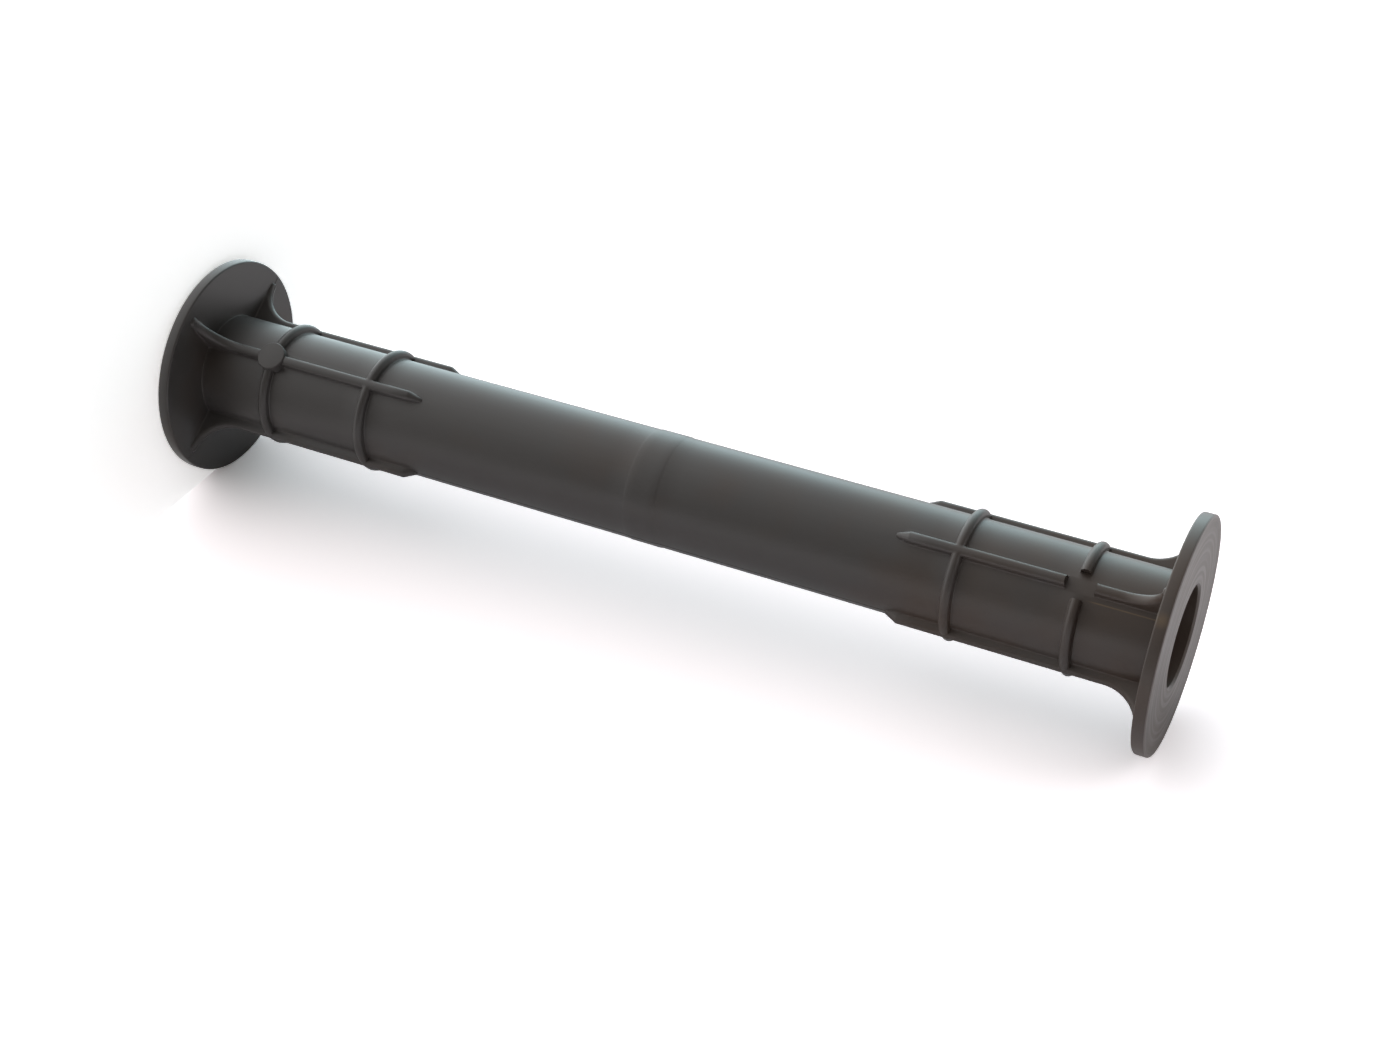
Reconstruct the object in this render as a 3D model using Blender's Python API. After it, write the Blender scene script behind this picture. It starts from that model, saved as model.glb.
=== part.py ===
# Formwork spacer tube. It holds two shutter faces a set distance apart, and a tie rod
# runs through its bore. It is one injection moulding: a tube with a round flange at each
# end, four ribs behind each flange and two rings that tie the ribs together.
#
# It stands on one flange. +Z runs along the tube, and the origin is at the centre of the
# lower flange's outer face. The mould opens along Y, so the parting plane holds X and Z.

import math

import bmesh
import bpy

MM = 0.001

# Tube and bore
LENGTH = 200.0 * MM
BORE_DIAMETER = 18.5 * MM
BORE_DRAFT = math.radians(0.1)
WALL = 1.45 * MM
MOUTH_CHAMFER = 0.4 * MM

# Low band round the middle of the tube
BAND_WIDTH = 5.5 * MM
BAND_HEIGHT = 0.1 * MM
BAND_RAMP = 0.6 * MM

# Flanges
FLANGE_DIAMETER = 43.6 * MM
FLANGE_THICKNESS = 2.5 * MM
FLANGE_DRAFT = math.radians(0.6)
RIM_ROUNDING = 0.35 * MM
NECK_FILLET = 1.5 * MM

# Rings, each place measured from the nearer outer face to the ring's middle
RING_PLACES = (17.5 * MM, 39.6 * MM)
RING_WIDTH = 2.0 * MM
RING_HEIGHT = 1.57 * MM

# Ribs, each with a gusset that sweeps up the flange and a point at its other end
RIB_COUNT = 4
FRONT_RIB_ANGLE = math.radians(-90.0)
RIB_WIDTH = 2.0 * MM
RIB_HEIGHT = 1.65 * MM
RIB_ROUNDING = 0.6 * MM
RIB_LENGTH = 51.2 * MM
RIB_POINT_LENGTH = 2.6 * MM
RIB_POINT_WIDTH = 0.8 * MM
RIB_POINT_HEIGHT = 0.9 * MM
RIB_POINT_ROUNDING = 0.25 * MM

# A gusset is a quarter circle from the rib's crest to just short of the flange's rim,
# where it still stands a little proud of the face
GUSSET_MARGIN = 1.6 * MM
GUSSET_END_HEIGHT = 0.2 * MM

# Where the lower front rib crosses its first ring there is a round pad, and at the same
# crossing on the upper end both are interrupted by a round gap
PAD_DIAMETER = 5.7 * MM
PAD_HEIGHT = 1.9 * MM
PAD_ROUNDING = 0.2 * MM
GAP_DIAMETER = 5.65 * MM

# How deep the added forms root in the wall that they stand on, as shares of the wall
RING_ROOT = 0.40
PAD_ROOT = 0.52
RIB_ROOT = 0.65

# Facets
TURN_STEPS = 60
DISC_STEPS = 32
RING_ARC_STEPS = 6
GUSSET_STEPS = 8
CORNER_STEPS = 3
SHARP_ANGLE = math.radians(35.0)

bore_radius = BORE_DIAMETER / 2
tube_radius = bore_radius + WALL
flange_radius = FLANGE_DIAMETER / 2
rib_crest = tube_radius + RIB_HEIGHT
gusset_radius = flange_radius - GUSSET_MARGIN - rib_crest


def arc_points(centre, radius, start, end, steps):
    # Points of an arc in the plane of radius and height, ends included
    points = []
    for step in range(steps + 1):
        angle = start + (end - start) * step / steps
        points.append((centre[0] + radius * math.cos(angle), centre[1] + radius * math.sin(angle)))
    return points


def add_object(name, mesh_data, material=None):
    mesh = bpy.data.meshes.new(name)
    bmesh.ops.recalc_face_normals(mesh_data, faces=mesh_data.faces)
    mesh_data.to_mesh(mesh)
    mesh_data.free()
    mesh.shade_smooth()
    mesh.set_sharp_from_angle(angle=SHARP_ANGLE)
    if material:
        mesh.materials.append(material)
    added = bpy.data.objects.new(name, mesh)
    bpy.context.scene.collection.objects.link(added)
    return added


def cut_with(target, cutter):
    modifier = target.modifiers.new(cutter.name, "BOOLEAN")
    modifier.operation = "DIFFERENCE"
    modifier.solver = "EXACT"
    modifier.object = cutter


def join_all(target, pieces):
    # One union for every piece, which the solver works out together
    moulded_on = bpy.data.collections.new("moulded_on")
    bpy.context.scene.collection.children.link(moulded_on)
    for piece in pieces:
        bpy.context.scene.collection.objects.unlink(piece)
        moulded_on.objects.link(piece)
    modifier = target.modifiers.new("moulded_on", "BOOLEAN")
    modifier.operation = "UNION"
    modifier.solver = "EXACT"
    modifier.operand_type = "COLLECTION"
    modifier.collection = moulded_on


def make_guide(added):
    added.hide_render = True
    added.display_type = "WIRE"
    return added


def revolve(profile):
    # Turns a closed outline of (radius, height) points about Z
    mesh_data = bmesh.new()
    corners = [mesh_data.verts.new((radius, 0.0, height)) for radius, height in profile]
    edges = [mesh_data.edges.new((corner, corners[index - 1])) for index, corner in enumerate(corners)]
    bmesh.ops.spin(
        mesh_data, geom=corners + edges, cent=(0, 0, 0), axis=(0, 0, 1),
        angle=math.tau, steps=TURN_STEPS, use_merge=True)
    return mesh_data


def ring_arc(height):
    # The half-round crest of a ring, from its lower flank to its upper one
    half_width = RING_WIDTH / 2
    centre = (tube_radius + RING_HEIGHT - half_width, height)
    return arc_points(centre, half_width, -math.pi / 2, math.pi / 2, RING_ARC_STEPS)


def tube_half_profile(ring_places):
    # One half's outline, from the middle of the bore round the flange to the band
    middle = LENGTH / 2
    rim = flange_radius - RIM_ROUNDING
    inner_rim = FLANGE_THICKNESS - RIM_ROUNDING
    neck = (tube_radius + NECK_FILLET, FLANGE_THICKNESS + NECK_FILLET)
    band_edge = middle - BAND_WIDTH / 2
    profile = [
        (bore_radius - middle * math.tan(BORE_DRAFT), middle),
        (bore_radius, MOUTH_CHAMFER),
        (bore_radius + MOUTH_CHAMFER, 0.0),
    ]
    profile += arc_points((rim, RIM_ROUNDING), RIM_ROUNDING, -math.pi / 2, 0.0, CORNER_STEPS)
    profile += arc_points((rim, inner_rim), RIM_ROUNDING, 0.0, math.pi / 2, CORNER_STEPS)
    profile += arc_points(neck, NECK_FILLET, -math.pi / 2, -math.pi, CORNER_STEPS)
    for place in ring_places:
        profile.append((tube_radius, place - RING_WIDTH / 2))
        profile += ring_arc(place)
        profile.append((tube_radius, place + RING_WIDTH / 2))
    profile += [
        (tube_radius, band_edge - BAND_RAMP),
        (tube_radius + BAND_HEIGHT, band_edge),
    ]
    return profile


def make_tube(material):
    # The whole rings are turned with the tube. The upper end's first ring is interrupted,
    # so it is made by itself
    lower = tube_half_profile(RING_PLACES)
    upper = tube_half_profile(RING_PLACES[1:])
    upper = [(radius, LENGTH - height) for radius, height in reversed(upper[1:])]
    mesh_data = revolve(lower + upper)

    # The flanges' inner faces fall away from the parting plane, so that the mould opens
    face_start = FLANGE_THICKNESS / 2
    face_end = FLANGE_THICKNESS + NECK_FILLET / 3
    for vertex in mesh_data.verts:
        if vertex.co.xy.length < tube_radius:
            continue
        fall = abs(vertex.co.y) * math.tan(FLANGE_DRAFT)
        if face_start < vertex.co.z < face_end:
            vertex.co.z -= fall
        if face_start < LENGTH - vertex.co.z < face_end:
            vertex.co.z += fall
    return add_object("spacer_tube", mesh_data, material)


def make_interrupted_ring(gap):
    height = LENGTH - RING_PLACES[0]
    root = tube_radius - WALL * RING_ROOT
    profile = [(root, height - RING_WIDTH / 2)] + ring_arc(height) + [(root, height + RING_WIDTH / 2)]
    ring = make_guide(add_object("interrupted_ring", revolve(profile)))
    cut_with(ring, gap)
    return ring


def rib_stations():
    # Each station is a crest point as (radius, height), the direction into the material
    # as an angle from the radial one, and the rib's width and rounding there
    stations = []
    centre = (rib_crest + gusset_radius, FLANGE_THICKNESS + GUSSET_END_HEIGHT + gusset_radius)

    # The end on the flange is rounded over like the crest's edges
    end_height = centre[1] - gusset_radius
    for step in range(CORNER_STEPS):
        angle = math.pi / 2 * step / CORNER_STEPS
        reach = RIB_ROUNDING * math.cos(angle)
        drop = RIB_ROUNDING * (1 - math.sin(angle))
        stations.append(((centre[0] + reach, end_height - drop), math.pi / 2, RIB_WIDTH, RIB_ROUNDING))

    for step in range(GUSSET_STEPS + 1):
        turn = math.pi / 2 * (1 - step / GUSSET_STEPS)
        crest = (
            centre[0] - gusset_radius * math.cos(turn),
            centre[1] - gusset_radius * math.sin(turn))
        stations.append((crest, turn, RIB_WIDTH, RIB_ROUNDING))

    point_start = RIB_LENGTH - RIB_POINT_LENGTH
    point_crest = tube_radius + RIB_POINT_HEIGHT
    stations.append(((rib_crest, point_start), 0.0, RIB_WIDTH, RIB_ROUNDING))
    stations.append(((point_crest, RIB_LENGTH), 0.0, RIB_POINT_WIDTH, RIB_POINT_ROUNDING))
    return stations


def rib_section(crest, turn, width, rounding):
    # The rib cut square to its crest, as points of (across, radius, height)
    root_radius = tube_radius - WALL * RIB_ROOT
    root_height = FLANGE_THICKNESS / 2
    down_radius = -math.cos(turn)
    down_height = -math.sin(turn)
    depths = []
    if turn < math.pi / 2:
        depths.append((crest[0] - root_radius) / math.cos(turn))
    if turn > 0.0:
        depths.append((crest[1] - root_height) / math.sin(turn))
    outline = [(-width / 2, min(depths))]
    for side in (-1, 1):
        for step in range(CORNER_STEPS + 1):
            angle = math.pi / 2 * step / CORNER_STEPS
            if side > 0:
                angle = math.pi / 2 - angle
            across = side * (width / 2 - rounding + rounding * math.cos(angle))
            outline.append((across, rounding * (1 - math.sin(angle))))
    outline.append((width / 2, min(depths)))
    return [
        (across, crest[0] + depth * down_radius, crest[1] + depth * down_height)
        for across, depth in outline]


def make_rib(name, angle, at_top):
    # The sections joined one to the next, with both ends closed
    mesh_data = bmesh.new()
    sections = []
    for station in rib_stations():
        section = []
        for across, radius, height in rib_section(*station):
            x = radius * math.cos(angle) - across * math.sin(angle)
            y = radius * math.sin(angle) + across * math.cos(angle)
            z = LENGTH - height if at_top else height
            section.append(mesh_data.verts.new((x, y, z)))
        sections.append(section)
    for first, second in zip(sections, sections[1:]):
        for index in range(len(first)):
            following = (index + 1) % len(first)
            mesh_data.faces.new((first[index], first[following], second[following], second[index]))
    mesh_data.faces.new(sections[0])
    mesh_data.faces.new(sections[-1])
    return make_guide(add_object(name, mesh_data))


def make_front_disc(name, diameter, start, end, height, rounding=0.0):
    # A disc that faces the front rib's side, from one radius to another
    mesh_data = bmesh.new()
    outline = [(diameter / 2, start)]
    if rounding:
        rim = (diameter / 2 - rounding, end - rounding)
        outline += arc_points(rim, rounding, 0.0, math.pi / 2, CORNER_STEPS)
    else:
        outline.append((diameter / 2, end))
    loops = []
    for disc_radius, out in outline:
        loop = []
        for step in range(DISC_STEPS):
            around = math.tau * (step + 0.5) / DISC_STEPS
            across = disc_radius * math.cos(around)
            x = out * math.cos(FRONT_RIB_ANGLE) - across * math.sin(FRONT_RIB_ANGLE)
            y = out * math.sin(FRONT_RIB_ANGLE) + across * math.cos(FRONT_RIB_ANGLE)
            loop.append(mesh_data.verts.new((x, y, height + disc_radius * math.sin(around))))
        loops.append(loop)
    for first, second in zip(loops, loops[1:]):
        for index in range(DISC_STEPS):
            following = (index + 1) % DISC_STEPS
            mesh_data.faces.new((first[index], first[following], second[following], second[index]))
    mesh_data.faces.new(loops[0])
    mesh_data.faces.new(loops[-1])
    return make_guide(add_object(name, mesh_data))


def make_material():
    # Satin dark grey moulded plastic
    material = bpy.data.materials.new("moulded_plastic")
    material.use_nodes = True
    shader = material.node_tree.nodes["Principled BSDF"]
    shader.inputs["Base Color"].default_value = (0.056, 0.058, 0.058, 1.0)
    shader.inputs["Roughness"].default_value = 0.45
    shader.inputs["Metallic"].default_value = 0.0
    material.diffuse_color = (0.056, 0.058, 0.058, 1.0)
    return material


def build_spacer_tube():
    crossing = RING_PLACES[0]
    tube = make_tube(make_material())
    gap = make_front_disc("gap_cutter", GAP_DIAMETER, bore_radius, flange_radius, LENGTH - crossing)
    pieces = [make_interrupted_ring(gap)]
    for at_top in (False, True):
        end_name = "top" if at_top else "bottom"
        for number in range(RIB_COUNT):
            angle = FRONT_RIB_ANGLE + math.tau * number / RIB_COUNT
            rib = make_rib(f"{end_name}_rib_{number + 1}", angle, at_top)
            if at_top and number == 0:
                cut_with(rib, gap)
            pieces.append(rib)
    pad_start = tube_radius - WALL * PAD_ROOT
    pad_end = tube_radius + PAD_HEIGHT
    pieces.append(make_front_disc("pad", PAD_DIAMETER, pad_start, pad_end, crossing, PAD_ROUNDING))
    join_all(tube, pieces)


for old in list(bpy.data.objects):
    bpy.data.objects.remove(old, do_unlink=True)
build_spacer_tube()
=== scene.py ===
import math

import bmesh
import bpy
from mathutils import Matrix, Vector


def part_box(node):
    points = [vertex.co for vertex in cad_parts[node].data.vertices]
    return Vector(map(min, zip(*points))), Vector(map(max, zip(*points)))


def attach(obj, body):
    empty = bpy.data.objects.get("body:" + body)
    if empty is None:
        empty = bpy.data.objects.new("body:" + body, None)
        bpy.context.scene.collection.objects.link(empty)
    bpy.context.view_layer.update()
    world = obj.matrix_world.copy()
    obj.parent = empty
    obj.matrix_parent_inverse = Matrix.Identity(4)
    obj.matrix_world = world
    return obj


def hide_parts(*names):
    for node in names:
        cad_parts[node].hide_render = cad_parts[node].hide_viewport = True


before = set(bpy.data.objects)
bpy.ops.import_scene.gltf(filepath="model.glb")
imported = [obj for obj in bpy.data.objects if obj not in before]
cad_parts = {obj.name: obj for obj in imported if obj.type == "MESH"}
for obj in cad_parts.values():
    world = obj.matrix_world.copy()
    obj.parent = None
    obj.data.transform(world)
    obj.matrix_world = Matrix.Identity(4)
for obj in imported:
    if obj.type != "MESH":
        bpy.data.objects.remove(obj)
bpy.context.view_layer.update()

mm = 0.001
weld = 0.001 * mm                       # points nearer than this are one
roundSteps = (0, 22.5, 45, 67.5, 90)    # degrees, the steps of a small rounding or fillet
scene = bpy.context.scene


# Helpers

def fromHex(code):
    # sRGB hex to linear
    channels = [int(code[i:i + 2], 16) / 255 for i in (1, 3, 5)]
    linear = [c / 12.92 if c <= 0.04045 else ((c + 0.055) / 1.055) ** 2.4 for c in channels]
    return (*linear, 1.0)


def addNode(tree, kind, settings=None, inputs=None):
    # an input that is another node's output becomes a link
    node = tree.nodes.new(kind)
    for name, value in (settings or {}).items():
        setattr(node, name, value)
    for name, value in (inputs or {}).items():
        if isinstance(value, bpy.types.NodeSocket):
            tree.links.new(value, node.inputs[name])
        else:
            node.inputs[name].default_value = value
    return node


def addObject(name, data, material=None):
    made = bpy.data.objects.new(name, data)
    scene.collection.objects.link(made)
    if material:
        data.materials.append(material)
    return made


def arc(centre, radius, start, end, steps):
    # points of an arc in the plane of radius and height, angles in degrees
    points = []
    for step in range(steps + 1):
        angle = math.radians(start + (end - start) * step / steps)
        points.append((centre[0] + radius * math.cos(angle), centre[1] + radius * math.sin(angle)))
    return points


# The moulded tube: a turned blank, laid out as a grid, whose ribs and rings are raised by
# Geometry Nodes

low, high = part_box("spacer_tube")

tube = {
    "length": high.z - low.z,
    "flangeRadius": (high.x - low.x) / 2,
    "flangeThickness": 2.5 * mm,
    "flangeDraft": 0.6,                 # degrees, away from the parting plane
    "rimRounding": 0.35 * mm,
    "tubeRadius": 10.7 * mm,
    "boreRadius": 9.25 * mm,
    "boreDraft": 0.1,                   # degrees
    "mouthChamfer": 0.4 * mm,
    "neckFillet": 0.15 * mm,
    "dishDepth": 0.05 * mm,             # each outer face sinks a little between mouth and rim
    "dishInner": 11.5 * mm,
    "dishOuter": 20.4 * mm,
    "dishRamp": 1.8 * mm,
    "ribs": 4,
    "betweenRibs": 20,                  # columns of the grid from one rib to the next
    "boreSteps": 10,                    # rows from the bore's middle to its mouth
    "faceSteps": 20,                    # rows of the outer face
    "rimSteps": 5,
    "neckSteps": 6,
    "gussetSteps": 16,                  # rows over half of a gusset's arc
    "faceEdge": 0.1 * mm,               # the relief starts this far inside the rim's rounding
    "middleStep": 4.0 * mm,             # rows are at most this far apart
    "middleGap": 1.4 * mm,              # from the last row to the tube's middle
    "endStep": 0.12 * mm,               # rows where ribs and gussets end
    "sharpAngle": 35,                   # degrees, from which an edge is shaded sharp
}

relief = {
    "ribHeight": 1.65 * mm,
    "ribWidth": 2.0 * mm,
    "ribDraft": 0.03 * mm,              # each flank's lean over its height
    "crestRounding": 0.85 * mm,
    "footFillet": 0.4 * mm,
    "ribLength": 51.3 * mm,
    "pointLength": 2.7 * mm,
    "pointHeight": 0.35 * mm,
    "pointWidth": 1.0 * mm,
    "pointSpread": 12 * mm,             # past the point the grid widens again over this length
    "endRounding": 0.4 * mm,
    "gussetRadius": 7.4 * mm,
    "gussetEnd": 0.4 * mm,
    "ringHeight": 1.57 * mm,
    "ringWidth": 2.0 * mm,
    "ringFoot": 0.25 * mm,
    "ringLean": 0.01 * mm,              # each flank's lean over its height
    "ringEdge": 0.005 * mm,             # nearer than this past a ring's edge is still on it
    "ringOne": 17.5 * mm,
    "ringTwo": 39.6 * mm,
    "bandWidth": 5.5 * mm,
    "bandHeight": 0.1 * mm,
    "bandRamp": 0.6 * mm,
    "seamHeight": 0.08 * mm,
    "seamWidth": 0.2 * mm,
}
gussetCentre = (
    tube["tubeRadius"] + relief["ribHeight"] + relief["gussetRadius"],
    tube["flangeThickness"] + relief["gussetEnd"] + relief["gussetRadius"])

# what each point of the grid carries: its distance from the axis in the plane of its rib, its
# height from the nearer end, how far a rib's crest drops there, how far the fillet at its
# foot rises, and whether it lies on the crest and on the seam
gridValues = ("rho", "fromEnd", "crestDrop", "footRise", "isCrest", "seam")

# one line each: name, operation, terms; a term is a number, a size, a grid value or an
# earlier name
reliefSteps = (
    # a rib's height, as the space left round the gusset's arc
    ("inward", "SUBTRACT", "centreRadius", "rho"),
    ("inward", "MAXIMUM", "inward", 0.0),
    ("down", "SUBTRACT", "centreHeight", "fromEnd"),
    ("down", "MAXIMUM", "down", 0.0),
    ("inwardSquare", "MULTIPLY", "inward", "inward"),
    ("square", "MULTIPLY_ADD", "down", "down", "inwardSquare"),
    ("span", "SQRT", "square"),
    ("rib", "SUBTRACT", "span", "gussetRadius"),

    # its point slopes down
    ("along", "SUBTRACT", "fromEnd", "ribLength"),
    ("along", "ADD", "along", "pointLength"),
    ("along", "DIVIDE", "along", "pointLength"),
    ("along", "MAXIMUM", "along", 0.0),
    ("fallAll", "SUBTRACT", "ribHeight", "pointHeight"),
    ("fall", "MULTIPLY", "along", "fallAll"),
    ("rib", "SUBTRACT", "rib", "fall"),

    # both of its ends are rounded off
    ("pastFlange", "SUBTRACT", "rho", "centreRadius"),
    ("pastPoint", "SUBTRACT", "fromEnd", "ribLength"),
    ("past", "MAXIMUM", "pastFlange", "pastPoint"),
    ("past", "ADD", "past", "endRounding"),
    ("past", "ADD", "past", "crestDrop"),
    ("past", "MAXIMUM", "past", 0.0),
    ("past", "DIVIDE", "past", "endRounding"),
    ("past", "MINIMUM", "past", 1.0),
    ("pastSquare", "MULTIPLY", "past", "past"),
    ("left", "SUBTRACT", 1.0, "pastSquare"),
    ("left", "SQRT", "left"),
    ("rib", "MAXIMUM", "rib", 0.0),
    ("rib", "MULTIPLY", "rib", "left"),

    # its crest is rounded, and its foot has a fillet where the rib is high enough
    ("round", "DIVIDE", "rib", "crestRounding"),
    ("round", "MINIMUM", "round", 1.0),
    ("drop", "MULTIPLY", "crestDrop", "round"),
    ("hollow", "SUBTRACT", "rib", "crestRounding"),
    ("hollow", "DIVIDE", "hollow", "footFillet"),
    ("hollow", "MAXIMUM", "hollow", 0.0),
    ("hollow", "MINIMUM", "hollow", 1.0),
    ("crest", "SUBTRACT", "rib", "drop"),
    ("crest", "MULTIPLY", "crest", "isCrest"),
    ("rib", "MULTIPLY_ADD", "footRise", "hollow", "crest"),

    # the nearer ring is a bead, half round on top
    ("toOne", "SUBTRACT", "fromEnd", "ringOne"),
    ("toOne", "ABSOLUTE", "toOne"),
    ("toTwo", "SUBTRACT", "fromEnd", "ringTwo"),
    ("toTwo", "ABSOLUTE", "toTwo"),
    ("toRing", "MINIMUM", "toOne", "toTwo"),
    ("ringHalf", "MULTIPLY", "ringWidth", 0.5),
    ("halfSquare", "MULTIPLY", "ringHalf", "ringHalf"),
    ("toSquare", "MULTIPLY", "toRing", "toRing"),
    ("bead", "SUBTRACT", "halfSquare", "toSquare"),
    ("bead", "MAXIMUM", "bead", 0.0),
    ("bead", "SQRT", "bead"),
    ("flank", "SUBTRACT", "ringHeight", "ringHalf"),
    ("bead", "ADD", "bead", "flank"),
    ("onBead", "SUBTRACT", "toRing", "ringHalf"),
    ("onBead", "LESS_THAN", "onBead", "ringEdge"),
    ("bead", "MULTIPLY", "bead", "onBead"),

    # a fillet lies at the bead's foot
    ("foot", "SUBTRACT", "toRing", "ringHalf"),
    ("foot", "DIVIDE", "foot", "ringFoot"),
    ("foot", "SUBTRACT", 1.0, "foot"),
    ("foot", "MAXIMUM", "foot", 0.0),
    ("foot", "MINIMUM", "foot", 1.0),
    ("footSquare", "MULTIPLY", "foot", "foot"),
    ("foot", "SUBTRACT", 1.0, "footSquare"),
    ("foot", "SQRT", "foot"),
    ("foot", "SUBTRACT", 1.0, "foot"),
    ("foot", "MULTIPLY", "foot", "ringFoot"),
    ("ring", "MAXIMUM", "bead", "foot"),

    # the low band round the middle
    ("band", "SUBTRACT", "middle", "fromEnd"),
    ("bandHalf", "MULTIPLY", "bandWidth", 0.5),
    ("bandOuter", "ADD", "bandHalf", "bandRamp"),
    ("band", "SUBTRACT", "bandOuter", "band"),
    ("band", "DIVIDE", "band", "bandRamp"),
    ("band", "MAXIMUM", "band", 0.0),
    ("band", "MINIMUM", "band", 1.0),
    ("band", "MULTIPLY", "band", "bandHeight"),

    # all together, with the seam on top
    ("raised", "MAXIMUM", "rib", "ring"),
    ("raised", "MAXIMUM", "raised", "band"),
    ("raised", "MULTIPLY_ADD", "seam", "seamHeight", "raised"),
)


def outwardAt(radius, height):
    # the way in which the relief grows: towards the gusset arc's centre, and straight out
    # of the tube or the flange past its ends
    inward = max(gussetCentre[0] - radius, 0.0)
    down = max(gussetCentre[1] - height, 0.0)
    return Vector((inward, down)).normalized()


def ringRows(middle):
    # heights of the rows that carry a ring: foot, flank, crest, flank, foot
    half = relief["ringWidth"] / 2
    foot = relief["ringFoot"]
    rises = [half + foot * (1 - math.sin(math.radians(a))) for a in roundSteps[:-1]]
    rises += [half + relief["ringLean"]]
    rises += [half * math.sin(math.radians(a)) for a in reversed(roundSteps[1:])]
    return [middle - r for r in rises] + [middle] + [middle + r for r in reversed(rises)]


def halfRows():
    # (radius, height, whether it takes relief) from the bore's middle round to the band
    t, r = tube, relief
    middle = t["length"] / 2
    rows = []
    boreSlope = math.tan(math.radians(t["boreDraft"]))
    for step in range(t["boreSteps"] + 1):
        height = middle + (t["mouthChamfer"] - middle) * step / t["boreSteps"]
        rows.append((t["boreRadius"] - (height - t["mouthChamfer"]) * boreSlope, height, 0))
    mouth = t["boreRadius"] + t["mouthChamfer"]
    rim = t["flangeRadius"] - t["rimRounding"]
    for step in range(t["faceSteps"]):
        radius = mouth + (rim - mouth) * step / t["faceSteps"]
        share = min(radius - t["dishInner"], t["dishOuter"] - radius) / t["dishRamp"]
        share = min(max(share, 0.0), 1.0)
        rows.append((radius, t["dishDepth"] * share * share * (3 - 2 * share), 0))
    for point in arc((rim, t["rimRounding"]), t["rimRounding"], -90, 0, t["rimSteps"]):
        rows.append((*point, 0))
    innerRim = t["flangeThickness"] - t["rimRounding"]
    rows.append((t["flangeRadius"], (t["rimRounding"] + innerRim) / 2, 0))
    for point in arc((rim, innerRim), t["rimRounding"], 0, 90, t["rimSteps"]):
        rows.append((*point, 0))

    # the flange's inner face, with rows at even turns of the gusset's arc
    face = t["flangeThickness"]
    rows.append((rim - t["faceEdge"], face, 1))
    endSteps = round((r["endRounding"] + r["crestRounding"]) / t["endStep"])
    for step in range(endSteps):
        rows.append((gussetCentre[0] - t["endStep"] * step, face, 1))
    endRadius = gussetCentre[0] - t["endStep"] * endSteps
    neck = (t["tubeRadius"] + t["neckFillet"], face + t["neckFillet"])
    depth = gussetCentre[1] - face
    lastTurn = math.atan((gussetCentre[0] - neck[0]) / depth)
    turns = t["gussetSteps"]
    for step in range(1, turns):
        radius = gussetCentre[0] - depth * math.tan(lastTurn * step / turns)
        if radius < endRadius:
            rows.append((radius, face, 1))
    for point in arc(neck, t["neckFillet"], 270, 180, t["neckSteps"]):
        rows.append((*point, 1))
    reach = gussetCentre[0] - t["tubeRadius"]
    firstTurn = math.atan((gussetCentre[1] - neck[1]) / reach)
    for step in range(1, turns + 1):
        height = gussetCentre[1] - reach * math.tan(firstTurn * (1 - step / turns))
        rows.append((t["tubeRadius"], height, 1))

    # along the tube: rings, the ribs' points and the band
    heights = []
    for ring in (r["ringOne"], r["ringTwo"]):
        heights += ringRows(ring)
    pointStart = r["ribLength"] - r["pointLength"]
    pointSteps = round(r["pointLength"] / t["endStep"])
    heights += [pointStart + r["pointLength"] * step / pointSteps for step in range(pointSteps + 1)]
    bandEdge = middle - r["bandWidth"] / 2
    heights += [bandEdge - r["bandRamp"], bandEdge - r["bandRamp"] / 2, bandEdge]
    heights += [middle - t["middleGap"]]
    filled = [gussetCentre[1]]
    for height in heights:
        gap = height - filled[-1]
        steps = max(1, math.ceil(gap / t["middleStep"]))
        filled += [filled[-1] + gap * step / steps for step in range(1, steps + 1)]
    return rows + [(t["tubeRadius"], height, 1) for height in filled[1:]]


def ribColumns():
    # (distance across, crest's drop, foot's rise, on the crest, on the seam) over one rib
    r = relief
    half = r["ribWidth"] / 2
    flat = half - r["crestRounding"]
    right = [(r["seamWidth"] / 2, 0, 0, 1, 0)]
    for a in roundSteps:
        turn = math.radians(a)
        drop = r["crestRounding"] * (1 - math.cos(turn))
        right.append((flat + r["crestRounding"] * math.sin(turn), drop, 0, 1, 0))
    foot = half + r["ribDraft"] + r["footFillet"]
    for a in reversed(roundSteps):
        turn = math.radians(a)
        rise = r["footFillet"] * (1 - math.cos(turn))
        right.append((foot - r["footFillet"] * math.sin(turn), r["crestRounding"], rise, 0, 0))
    left = [(-across, drop, rise, crest, seam) for across, drop, rise, crest, seam in reversed(right)]
    return left + [(0.0, 0, 0, 1, 1)] + right


def pointShare(height):
    # the ribs narrow to a point, and past it the grid spreads out again
    r = relief
    narrow = r["pointWidth"] / r["ribWidth"]
    start = r["ribLength"] - r["pointLength"]
    if height < start:
        return 1.0
    if height < r["ribLength"]:
        return 1 + (narrow - 1) * (height - start) / r["pointLength"]
    spread = (height - r["ribLength"]) / r["pointSpread"]
    return narrow + (1 - narrow) * min(spread, 1)


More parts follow.
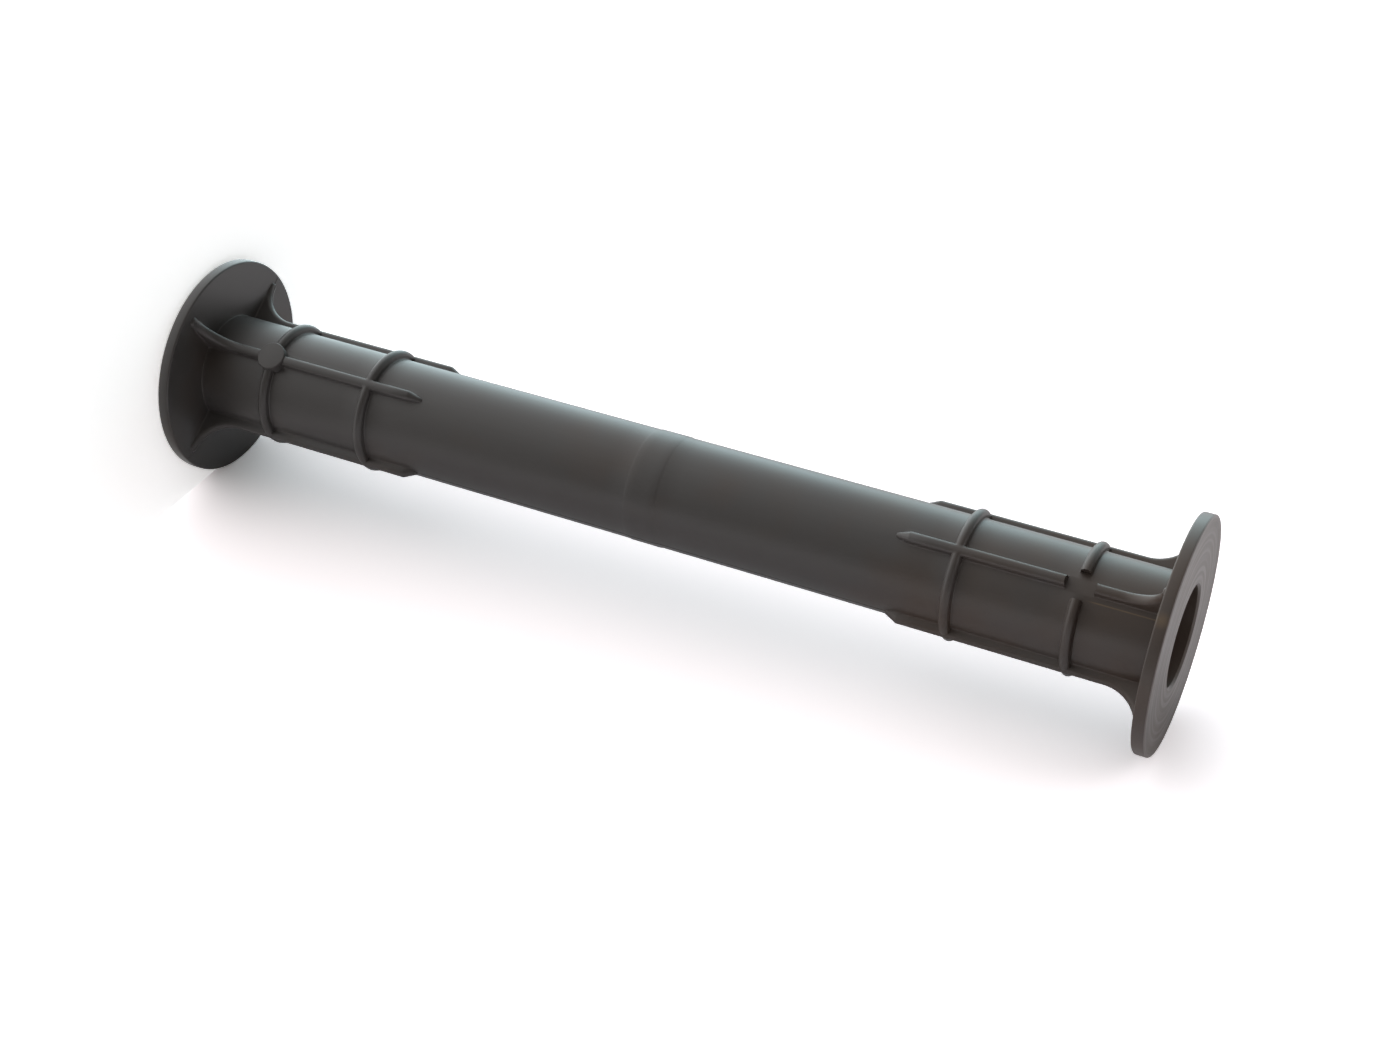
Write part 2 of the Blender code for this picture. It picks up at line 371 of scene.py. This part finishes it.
def makeBlank():
    t = tube
    lower = halfRows()
    upper = [(radius, t["length"] - height, takes) for radius, height, takes in reversed(lower[1:])]
    columns = ribColumns()
    edge = columns[-1][0]
    rows = lower + upper
    positions = []
    outward = []
    attributes = {name: [] for name in gridValues}

    # the flange's inner face and the start of the fillet beside it lean away from the
    # parting plane
    draft = math.tan(math.radians(t["flangeDraft"]))
    draftEnd = t["flangeThickness"] + t["neckFillet"] / 3
    between = math.tau / t["ribs"]

    # the first rib faces front; between two ribs the columns are evenly spread
    for radius, height, takes in rows:
        atTop = height > t["length"] / 2
        fromEnd = t["length"] - height if atTop else height
        share = pointShare(fromEnd)
        for rib in range(t["ribs"]):
            middle = between * (rib - 1)
            places = [(middle, math.asin(c[0] * share / radius), c) for c in columns]
            side = math.asin(edge * share / radius)
            for step in range(1, t["betweenRibs"]):
                turn = side + (between - 2 * side) * step / t["betweenRibs"]
                places.append((middle + turn, 0.0, None))
            for centre, off, column in places:
                x = radius * math.cos(centre + off)
                y = radius * math.sin(centre + off)
                across = abs(math.sin(off)) * radius
                rho = math.sqrt(radius ** 2 - across ** 2)
                drafted = fromEnd
                if t["flangeThickness"] / 2 < fromEnd < draftEnd and radius > t["tubeRadius"]:
                    drafted -= abs(y) * draft
                out, up = outwardAt(rho, drafted) * takes
                positions.append((x, y, t["length"] - drafted if atTop else drafted))
                outward += [out * math.cos(centre), out * math.sin(centre), -up if atTop else up]
                drop, rise, crest, seam = column[1:] if column else (0, 0, 0, 0)
                onSeam = seam * (rib % 2)       # the seam follows the two side ribs
                values = (rho if column else radius, drafted, drop, rise, crest, onSeam)
                for name, value in zip(attributes, values):
                    attributes[name].append(value)
    wide = len(positions) // len(rows)
    faces = []
    for row in range(len(rows)):
        here = row * wide
        above = (row + 1) % len(rows) * wide
        for column in range(wide):
            right = (column + 1) % wide
            faces.append((here + column, here + right, above + right, above + column))
    mesh = bpy.data.meshes.new("mouldedTube")
    mesh.from_pydata(positions, [], faces)
    for name, values in attributes.items():
        mesh.attributes.new(name, "FLOAT", "POINT").data.foreach_set("value", values)
    mesh.attributes.new("outward", "FLOAT_VECTOR", "POINT").data.foreach_set("vector", outward)
    print("blank:", len(rows), "rows of", wide)
    return mesh


def reliefTree(material):
    tree = bpy.data.node_groups.new("raisedRelief", "GeometryNodeTree")
    tree.interface.new_socket("Blank", in_out="INPUT", socket_type="NodeSocketGeometry")

    # the sizes that a step names are the group's inputs
    asked = {term for step in reliefSteps for term in step[2:]}
    sizes = {name: size for name, size in relief.items() if name in asked}
    sizes["centreRadius"], sizes["centreHeight"] = gussetCentre
    sizes["middle"] = tube["length"] / 2
    for name in sizes:
        tree.interface.new_socket(name, in_out="INPUT", socket_type="NodeSocketFloat")
    tree.interface.new_socket("Moulding", in_out="OUTPUT", socket_type="NodeSocketGeometry")
    given = addNode(tree, "NodeGroupInput")
    known = {name: given.outputs[name] for name in sizes}
    for name in gridValues:
        carried = addNode(tree, "GeometryNodeInputNamedAttribute", {"data_type": "FLOAT"}, {"Name": name})
        known[name] = carried.outputs[0]
    for name, operation, *terms in reliefSteps:
        inputs = {i: known.get(term, term) for i, term in enumerate(terms)}
        known[name] = addNode(tree, "ShaderNodeMath", {"operation": operation}, inputs).outputs[0]
    away = addNode(tree, "GeometryNodeInputNamedAttribute", {"data_type": "FLOAT_VECTOR"}, {
        "Name": "outward"})
    offset = addNode(tree, "ShaderNodeVectorMath", {"operation": "SCALE"}, {
        "Vector": away.outputs[0], "Scale": known["raised"]})
    moved = addNode(tree, "GeometryNodeSetPosition", None, {
        "Geometry": given.outputs["Blank"], "Offset": offset.outputs[0]})
    real = addNode(tree, "GeometryNodeRealizeInstances", None, {"Geometry": moved.outputs[0]})
    finished = addNode(tree, "GeometryNodeSetMaterial", None, {
        "Geometry": real.outputs[0], "Material": material})
    addNode(tree, "NodeGroupOutput", None, {"Moulding": finished.outputs[0]})
    return tree, sizes


def makeTube(material):
    made = addObject("moulded_tube", makeBlank())
    tree, sizes = reliefTree(material)
    modifier = made.modifiers.new("relief", "NODES")
    modifier.node_group = tree
    for socket in tree.interface.items_tree:
        if socket.in_out == "INPUT" and socket.name in sizes:
            modifier[socket.identifier] = sizes[socket.name]
    addCrossings(made)
    return plainMesh(made)


# Pad and gap, where the front ribs cross their first rings

crossing = {
    "padRadius": 2.85 * mm,
    "padHeight": 1.9 * mm,
    "padRounding": 0.2 * mm,
    "gapRadius": 2.825 * mm,
    "gapFloor": 0.01 * mm,              # over the tube, so that only the relief is cut
    "sunk": 0.6 * mm,                   # both discs start this far under the tube's surface
    "steps": 64,
    "roundingSteps": 4,
    "coreSteps": 360,
    "coreRadii": 6,                     # the core's length, in radii of the gap
}


def frontDisc(name, outline, height):
    # turns (radius, distance from the tube's axis) about the line that the front rib faces
    mesh = bmesh.new()
    points = [mesh.verts.new((radius, 0, out)) for radius, out in outline]
    edges = [mesh.edges.new(pair) for pair in zip(points, points[1:])]
    bmesh.ops.spin(
        mesh, geom=points + edges, cent=(0, 0, 0), axis=(0, 0, 1), angle=math.tau,
        steps=crossing["steps"], use_merge=True)
    bmesh.ops.remove_doubles(mesh, verts=mesh.verts, dist=weld)
    bmesh.ops.recalc_face_normals(mesh, faces=mesh.faces)
    faceFront = Matrix.Rotation(math.radians(90), 4, "X")

    # half a step of turn keeps the corners off the grid's lines
    halfStep = Matrix.Rotation(math.pi / crossing["steps"], 4, "Z")
    mesh.transform(Matrix.Translation((0, 0, height)) @ faceFront @ halfStep)
    data = bpy.data.meshes.new(name)
    mesh.to_mesh(data)
    mesh.free()
    return addObject(name, data)


def addBoolean(target, operation, other):
    modifier = target.modifiers.new(other.name, "BOOLEAN")
    modifier.operation = operation
    modifier.solver = "EXACT"
    modifier.object = other
    other.hide_render = True


def addCrossings(made):
    # a round pad at the lower end, and at the upper end a round gap down to the tube
    c = crossing
    inside = tube["tubeRadius"] - c["sunk"]
    top = tube["tubeRadius"] + c["padHeight"]
    corner = (c["padRadius"] - c["padRounding"], top - c["padRounding"])
    rounded = arc(corner, c["padRounding"], 0, 90, c["roundingSteps"])
    pad = frontDisc("pad", [(0, inside), (c["padRadius"], inside), *rounded, (0, top)], relief["ringOne"])

    far = tube["flangeRadius"]
    height = tube["length"] - relief["ringOne"]
    outline = [(0, inside), (c["gapRadius"], inside), (c["gapRadius"], far), (0, far)]
    gap = frontDisc("gap", outline, height)
    floor = tube["tubeRadius"] + c["gapFloor"]
    core = bmesh.new()
    bmesh.ops.create_cone(
        core, cap_ends=True, segments=c["coreSteps"], radius1=floor, radius2=floor,
        depth=c["coreRadii"] * c["gapRadius"], matrix=Matrix.Translation((0, 0, height)))
    coreData = bpy.data.meshes.new("core")
    core.to_mesh(coreData)
    core.free()
    addBoolean(gap, "DIFFERENCE", addObject("core", coreData))
    addBoolean(made, "DIFFERENCE", gap)
    addBoolean(made, "UNION", pad)


def plainMesh(made):
    # the evaluated shape as a plain mesh, and the helpers gone
    depsgraph = bpy.context.evaluated_depsgraph_get()
    shape = bpy.data.meshes.new_from_object(made.evaluated_get(depsgraph))
    made.modifiers.clear()
    made.data = shape
    for name in ("pad", "gap", "core"):
        bpy.data.objects.remove(bpy.data.objects[name], do_unlink=True)
    for name in (*gridValues, "outward"):
        shape.attributes.remove(shape.attributes[name])
    clean = bmesh.new()
    clean.from_mesh(shape)
    bmesh.ops.dissolve_degenerate(clean, edges=clean.edges, dist=weld)
    bmesh.ops.recalc_face_normals(clean, faces=clean.faces)
    clean.to_mesh(shape)
    openEdges = sum(1 for edge in clean.edges if len(edge.link_faces) != 2)
    triangles = sum(len(face.verts) - 2 for face in clean.faces)
    volume = clean.calc_volume()
    clean.free()
    shape.shade_smooth()
    shape.set_sharp_from_angle(angle=math.radians(tube["sharpAngle"]))
    print("moulded tube:", triangles, "triangles,", openEdges, "open edges,", round(volume * 1e9), "mm3")
    return made


# Moulded plastic

plastic = {
    "grey": "#3b3939",
    "greyPale": "#434140",
    "brown": "#43372f",
    "roughness": (0.38, 0.46),
    "ior": 1.52,
    "flowWidth": 5 * mm,                # flow marks are several times longer than wide
    "flowDetail": 3,
    "flowStretch": 0.2,
    "bloomWidth": 18 * mm,              # brownish patches of bloom; towards the upper end a painted warm reflection adds to them
    "bloomDetail": 2,
    # the painted warm reflection starts at this height and adds this much at the upper end
    "warmReflectionStart": 110 * mm,
    "warmReflectionGain": 0.4,
    "bloomAndReflectionRange": (0.55, 0.9),          # noise at which the bloom and the painted warm reflection start and are full
    "bloomAndReflectionMost": 0.9,
    "markWidth": 1.6 * mm,              # faint paler rings on the outer faces
    "markDetail": 1,
    "markRange": (0.45, 0.65),
    "markGain": 0.7,
    "faceDepth": 0.2 * mm,              # what lies this near an end is its outer face
    "ringPale": "#6b6462",
    "streak": "#65543f",                # a tan streak beside the upper front gusset
    "streakPlace": (2.15 * mm, 184.0 * mm),
    "streakWidth": 0.35 * mm,
    "streakStart": 2 * mm,              # it sets in over this length
    "streakRise": 0.3 * mm,             # it keeps within this height over the tube
    "tanPatchPlace": (5.6 * mm, -21.0 * mm, 198.7 * mm),
    "tanPatchWidth": 4.0 * mm,
    "tanPatchMost": 0.6,
    "waveWidth": 11 * mm,
    "waveDetail": 1,
    "waveDepth": 0.02 * mm,
    "grainWidth": 0.5 * mm,
    "grainDetail": 2,
    "grainDepth": 0.002 * mm,
}


def withBloomAndWarmReflection(tree, place, height, colour):
    # brownish patches of bloom, with more and stronger brown painted in towards the upper end as a warm
    # reflection
    p = plastic
    upper = addNode(tree, "ShaderNodeMapRange", None, {
        "Value": height, "From Min": p["warmReflectionStart"], "From Max": tube["length"], "To Max": p["warmReflectionGain"]})
    patches = addNode(tree, "ShaderNodeTexNoise", None, {
        "Vector": place, "Scale": 1 / p["bloomWidth"], "Detail": p["bloomDetail"]})
    spread = addNode(tree, "ShaderNodeMath", {"operation": "ADD"}, {
        0: patches.outputs["Fac"], 1: upper.outputs["Result"]})
    bloomAndReflection = addNode(tree, "ShaderNodeMapRange", None, {
        "Value": spread.outputs[0], "From Min": p["bloomAndReflectionRange"][0], "From Max": p["bloomAndReflectionRange"][1],
        "To Max": p["bloomAndReflectionMost"]})
    return addNode(tree, "ShaderNodeMix", {"data_type": "RGBA"}, {
        "Factor": bloomAndReflection.outputs["Result"], "A": colour, "B": fromHex(p["brown"])}).outputs[2]


def withPaleRings(tree, radius, height, colour):
    # rings round the axis, on the two outer faces alone
    p = plastic
    marks = addNode(tree, "ShaderNodeTexNoise", {"noise_dimensions": "1D"}, {
        "W": radius, "Scale": 1 / p["markWidth"], "Detail": p["markDetail"]})
    ringed = addNode(tree, "ShaderNodeMapRange", None, {
        "Value": marks.outputs["Fac"], "From Min": p["markRange"][0], "From Max": p["markRange"][1],
        "To Max": p["markGain"]})
    middle = tube["length"] / 2
    fromMiddle = addNode(tree, "ShaderNodeMath", {"operation": "SUBTRACT"}, {0: height, 1: middle})
    fromMiddle = addNode(tree, "ShaderNodeMath", {"operation": "ABSOLUTE"}, {0: fromMiddle.outputs[0]})
    onFace = addNode(tree, "ShaderNodeMath", {"operation": "GREATER_THAN"}, {
        0: fromMiddle.outputs[0], 1: middle - p["faceDepth"]})
    paleRingShare = addNode(tree, "ShaderNodeMath", {"operation": "MULTIPLY"}, {
        0: ringed.outputs["Result"], 1: onFace.outputs[0]})
    return addNode(tree, "ShaderNodeMix", {"data_type": "RGBA"}, {
        "Factor": paleRingShare.outputs[0], "A": colour, "B": fromHex(p["ringPale"])}).outputs[2]


def withStreak(tree, place, axes, radius, colour):
    # the streak runs along the front of the tube to the upper flange; a tan patch lies on its rim
    p = plastic
    acrossAt, startAt = p["streakPlace"]
    off = addNode(tree, "ShaderNodeMath", {"operation": "SUBTRACT"}, {0: axes["X"], 1: acrossAt})
    off = addNode(tree, "ShaderNodeMath", {"operation": "ABSOLUTE"}, {0: off.outputs[0]})
    thin = addNode(tree, "ShaderNodeMapRange", None, {
        "Value": off.outputs[0], "From Min": p["streakWidth"] / 2, "From Max": 0.0})
    started = addNode(tree, "ShaderNodeMapRange", None, {
        "Value": axes["Z"], "From Min": startAt, "From Max": startAt + p["streakStart"]})
    front = addNode(tree, "ShaderNodeMath", {"operation": "LESS_THAN"}, {0: axes["Y"], 1: 0.0})
    onTube = addNode(tree, "ShaderNodeMath", {"operation": "LESS_THAN"}, {
        0: radius, 1: tube["tubeRadius"] + p["streakRise"]})
    streak = thin.outputs["Result"]
    for share in (started.outputs["Result"], front.outputs[0], onTube.outputs[0]):
        streak = addNode(tree, "ShaderNodeMath", {"operation": "MULTIPLY"}, {0: streak, 1: share}).outputs[0]
    toTanPatch = addNode(tree, "ShaderNodeVectorMath", {"operation": "DISTANCE"}, {0: place, 1: p["tanPatchPlace"]})
    tanPatch = addNode(tree, "ShaderNodeMapRange", {"interpolation_type": "SMOOTHSTEP"}, {
        "Value": toTanPatch.outputs["Value"], "From Min": p["tanPatchWidth"] / 2, "From Max": 0.0,
        "To Max": p["tanPatchMost"]})
    marked = addNode(tree, "ShaderNodeMath", {"operation": "MAXIMUM"}, {
        0: streak, 1: tanPatch.outputs["Result"]})
    return addNode(tree, "ShaderNodeMix", {"data_type": "RGBA"}, {
        "Factor": marked.outputs[0], "A": colour, "B": fromHex(p["streak"])}).outputs[2]


def mouldedPlastic():
    # injection-moulded hard PVC from regrind: a dark, slightly warm grey with a wide satin
    # highlight, faint flow marks along the tube, a brownish bloom here and there and a painted
    # warm reflection that browns the upper end, paler rings on the outer faces, one tan streak
    # that ends in a tan patch, shallow sink marks and the fine grain of a blasted mould. That
    # grain is about 0.1 mm wide, too fine to show, so it is drawn at 0.5 mm
    p = plastic
    material = bpy.data.materials.new("mouldedPlastic")
    material.use_nodes = True
    tree = material.node_tree
    shader = tree.nodes["Principled BSDF"]
    place = addNode(tree, "ShaderNodeTexCoord").outputs["Object"]
    axes = addNode(tree, "ShaderNodeSeparateXYZ", None, {"Vector": place}).outputs
    across = addNode(tree, "ShaderNodeVectorMath", {"operation": "MULTIPLY"}, {0: place, 1: (1, 1, 0)})
    radius = addNode(tree, "ShaderNodeVectorMath", {"operation": "LENGTH"}, {
        0: across.outputs["Vector"]}).outputs["Value"]

    along = addNode(tree, "ShaderNodeMapping", None, {"Vector": place, "Scale": (1, 1, p["flowStretch"])})
    flow = addNode(tree, "ShaderNodeTexNoise", None, {
        "Vector": along.outputs["Vector"], "Scale": 1 / p["flowWidth"], "Detail": p["flowDetail"]})
    colour = addNode(tree, "ShaderNodeMix", {"data_type": "RGBA"}, {
        "Factor": flow.outputs["Fac"], "A": fromHex(p["grey"]), "B": fromHex(p["greyPale"])}).outputs[2]
    colour = withBloomAndWarmReflection(tree, place, axes["Z"], colour)
    colour = withPaleRings(tree, radius, axes["Z"], colour)
    colour = withStreak(tree, place, axes, radius, colour)
    rough = addNode(tree, "ShaderNodeMapRange", None, {
        "Value": flow.outputs["Fac"], "To Min": p["roughness"][0], "To Max": p["roughness"][1]})

    sink = addNode(tree, "ShaderNodeTexNoise", None, {
        "Vector": place, "Scale": 1 / p["waveWidth"], "Detail": p["waveDetail"]})
    wave = addNode(tree, "ShaderNodeBump", None, {"Distance": p["waveDepth"], "Height": sink.outputs["Fac"]})
    blasted = addNode(tree, "ShaderNodeTexNoise", None, {
        "Vector": place, "Scale": 1 / p["grainWidth"], "Detail": p["grainDetail"]})
    grain = addNode(tree, "ShaderNodeBump", None, {
        "Distance": p["grainDepth"], "Height": blasted.outputs["Fac"], "Normal": wave.outputs["Normal"]})
    tree.links.new(colour, shader.inputs["Base Color"])
    tree.links.new(rough.outputs["Result"], shader.inputs["Roughness"])
    tree.links.new(grain.outputs["Normal"], shader.inputs["Normal"])
    shader.inputs["IOR"].default_value = p["ior"]
    print("moulded plastic:", len(tree.nodes), "nodes")
    return material


# Camera: the photograph's, as fitted to the tube's outlines; lens and sensor are in mm

camera = {
    "place": (0.127590, -0.371032, 0.251449),
    "right": (-0.37265, 0.24196, 0.89587),
    "up": (-0.88190, -0.39274, -0.26077),
    "lens": 57.77,
    "sensor": 36.0,
    "shift": 0.0302,
    "clipStart": 0.01,
    "clipEnd": 20.0,
}


def makeCamera():
    data = bpy.data.cameras.new("camera")
    data.lens = camera["lens"]
    data.sensor_width = camera["sensor"]
    data.shift_x = camera["shift"]
    data.clip_start = camera["clipStart"]
    data.clip_end = camera["clipEnd"]
    made = addObject("camera", data)
    right = Vector(camera["right"]).normalized()
    back = right.cross(Vector(camera["up"])).normalized()
    up = back.cross(right)
    turn = Matrix((right, up, back)).transposed().to_4x4()
    made.matrix_world = Matrix.Translation(camera["place"]) @ turn
    scene.camera = made
    print("camera placed")


# Stage: a pale floor, the pale table that the photograph's tube lies on, a lamp and a dome

stage = {
    "floorSize": 3.0,
    "paleFloor": "#f3f5f6",
    "paleTable": "#f7f1f4",
    "floorGain": 1.9,                   # the camera sees each card this much brighter, as in an
    "tableGain": 1.70,                  # overexposed photograph
    "floorGlow": 0.28,                  # and it sees this share of white on top
    "tableGlow": 0.10,
    "tableTurn": 57.0,                  # degrees, from +X round to the table
    "mirrorGlow": 0.36,                 # the share of white that reflections and glass see
    "glowNear": 30 * mm,                # reflections of what is nearer than this show no glow
    "glowFar": 120 * mm,
    "shadeWidth": 26 * mm,              # of the sheet under the floor, at its wide end
    "shadeDrop": 4 * mm,                # from the floor down to it
    "shadePast": 7 * mm,                # how far it reaches beyond the table
    "domeStrength": 0.225,
    "domeColour": "#fff7ec",
    "lampSize": 60 * mm,
    "lampPower": 0.0225,
    "lampColour": "#fafafd",
    "lampPast": 70 * mm,                # beyond the end
    "lampOff": 50 * mm,                 # from the axis, away from the table
    "lampAim": 10 * mm,                 # beyond the end, at the table
}

# soft areas of light on the dome: direction, how sharply they fall off, strength, colour
softLights = (
    ((-0.418, -0.037, -0.908), 1.0, 1.74, "#fcfcfd"),
    ((-0.826, 0.536, -0.174), 5.0, 2.56, "#cdf6fd"),
)


def paleSheet(name, hue, gain, glow):
    # matt white card: keeps the tube's shadow, glows a little wherever it is seen, and is
    # clear from behind
    material = bpy.data.materials.new(name)
    material.use_nodes = True
    tree = material.node_tree
    tree.nodes.remove(tree.nodes["Principled BSDF"])
    out = tree.nodes["Material Output"]
    path = addNode(tree, "ShaderNodeLightPath")
    exposure = addNode(tree, "ShaderNodeMath", {"operation": "MULTIPLY_ADD"}, {
        0: path.outputs["Is Camera Ray"], 1: gain - 1, 2: 1.0})
    pale = addNode(tree, "ShaderNodeVectorMath", {"operation": "SCALE"}, {
        "Vector": fromHex(hue)[:3], "Scale": exposure.outputs[0]})
    card = addNode(tree, "ShaderNodeBsdfDiffuse", None, {"Color": pale.outputs["Vector"]})
    far = addNode(tree, "ShaderNodeMapRange", {"interpolation_type": "SMOOTHSTEP"}, {
        "Value": path.outputs["Ray Length"], "From Min": stage["glowNear"], "From Max": stage["glowFar"]})
    reflected = addNode(tree, "ShaderNodeMath", {"operation": "MULTIPLY"}, {
        0: path.outputs["Is Glossy Ray"], 1: far.outputs["Result"]})
    other = addNode(tree, "ShaderNodeMath", {"operation": "MAXIMUM"}, {
        0: reflected.outputs[0], 1: path.outputs["Is Transmission Ray"]})
    other = addNode(tree, "ShaderNodeMath", {"operation": "MULTIPLY"}, {
        0: other.outputs[0], 1: stage["mirrorGlow"]})
    strength = addNode(tree, "ShaderNodeMath", {"operation": "MULTIPLY_ADD"}, {
        0: path.outputs["Is Camera Ray"], 1: glow, 2: other.outputs[0]})
    light = addNode(tree, "ShaderNodeEmission", None, {
        "Color": (1, 1, 1, 1), "Strength": strength.outputs[0]})
    both = addNode(tree, "ShaderNodeAddShader", None, {0: card.outputs[0], 1: light.outputs[0]})
    clear = addNode(tree, "ShaderNodeBsdfTransparent")
    side = addNode(tree, "ShaderNodeNewGeometry")
    mix = addNode(tree, "ShaderNodeMixShader", None, {
        "Fac": side.outputs["Backfacing"], 1: both.outputs[0], 2: clear.outputs[0]})
    tree.links.new(mix.outputs[0], out.inputs["Surface"])
    return material


def addSheet(name, corners, material):
    data = bpy.data.meshes.new(name)
    data.from_pydata(corners, [], [(0, 1, 2, 3)])
    made = addObject(name, data, material)
    return made


def addLamp(away):
    # a soft lamp past the upper end, aimed at where that end meets the table
    data = bpy.data.lights.new("endLamp", "AREA")
    data.size = stage["lampSize"]
    data.energy = stage["lampPower"]
    data.color = fromHex(stage["lampColour"])[:3]
    data.specular_factor = 0.0
    lamp = addObject("endLamp", data)
    lamp.visible_camera = False
    place = Vector((0, 0, tube["length"] + stage["lampPast"])) - away * stage["lampOff"]
    aim = away * tube["flangeRadius"] + Vector((0, 0, tube["length"] + stage["lampAim"]))
    turn = (place - aim).to_track_quat("Z", "Y").to_matrix().to_4x4()
    lamp.matrix_world = Matrix.Translation(place) @ turn


def makeStage():
    half = stage["floorSize"] / 2
    floor = addSheet("floor", [(-half, -half, 0), (half, -half, 0), (half, half, 0), (-half, half, 0)],
                     paleSheet("paleFloor", stage["paleFloor"], stage["floorGain"], stage["floorGlow"]))
    floor.visible_diffuse = False       # the photograph's light also comes from below the floor
    floor.visible_glossy = False
    floor.visible_shadow = False

    # the table touches both flanges and faces them
    turn = math.radians(stage["tableTurn"])
    away = Vector((math.cos(turn), math.sin(turn), 0))
    across = Vector((-away.y, away.x, 0))
    foot = away * tube["flangeRadius"]
    top = Vector((0, 0, half))
    side = across * half
    addSheet("table", [foot + side, foot - side, foot - side + top, foot + side + top],
             paleSheet("paleTable", stage["paleTable"], stage["tableGain"], stage["tableGlow"]))

    # a small sheet just under the floor does shade. It widens from the bore out past the
    # table, so that no light comes up through the tube and the flange keeps a shadow
    wide = across * stage["shadeWidth"] / 2
    under = Vector((0, 0, -stage["shadeDrop"]))
    near = under - away * tube["boreRadius"]
    past = under + foot + away * stage["shadePast"]
    shade = addSheet("floorShade", [near + wide / 2, near - wide / 2, past - wide, past + wide],
                     paleSheet("paleShade", stage["paleFloor"], gain=1.0, glow=0.0))
    shade.visible_camera = False
    addLamp(away)
    print("stage set")


def makeDome():
    world = bpy.data.worlds.new("studio")
    scene.world = world
    world.use_nodes = True
    tree = world.node_tree
    background = tree.nodes["Background"]
    background.inputs["Color"].default_value = fromHex(stage["domeColour"])
    background.inputs["Strength"].default_value = stage["domeStrength"]
    total = background
    place = addNode(tree, "ShaderNodeTexCoord")
    for direction, sharpness, strength, colour in softLights:
        facing = addNode(tree, "ShaderNodeVectorMath", {"operation": "DOT_PRODUCT"}, {
            0: place.outputs["Generated"], 1: Vector(direction).normalized()})
        ahead = addNode(tree, "ShaderNodeMath", {"operation": "MAXIMUM"}, {
            0: facing.outputs["Value"], 1: 0.0})
        soft = addNode(tree, "ShaderNodeMath", {"operation": "POWER"}, {0: ahead.outputs[0], 1: sharpness})
        level = addNode(tree, "ShaderNodeMath", {"operation": "MULTIPLY"}, {0: soft.outputs[0], 1: strength})
        light = addNode(tree, "ShaderNodeBackground", None, {
            "Color": fromHex(colour), "Strength": level.outputs[0]})
        total = addNode(tree, "ShaderNodeAddShader", None, {0: total.outputs[0], 1: light.outputs[0]})

    # the camera, and what shows through glass, see plain white behind everything; the satin
    # highlights are reflections of the soft lights
    path = addNode(tree, "ShaderNodeLightPath")
    seen = addNode(tree, "ShaderNodeMath", {"operation": "MAXIMUM"}, {
        0: path.outputs["Is Camera Ray"], 1: path.outputs["Is Transmission Ray"]})
    white = addNode(tree, "ShaderNodeBackground", None, {"Color": (1, 1, 1, 1), "Strength": 1.0})
    mix = addNode(tree, "ShaderNodeMixShader", None, {
        "Fac": seen.outputs[0], 1: total.outputs[0], 2: white.outputs[0]})
    tree.links.new(mix.outputs[0], tree.nodes["World Output"].inputs["Surface"])
    print("dome lit by", len(softLights), "soft lights")


made = makeTube(mouldedPlastic())
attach(made, "root")
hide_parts("spacer_tube")
makeCamera()
makeStage()
makeDome()
scene.view_settings.view_transform = "Standard"
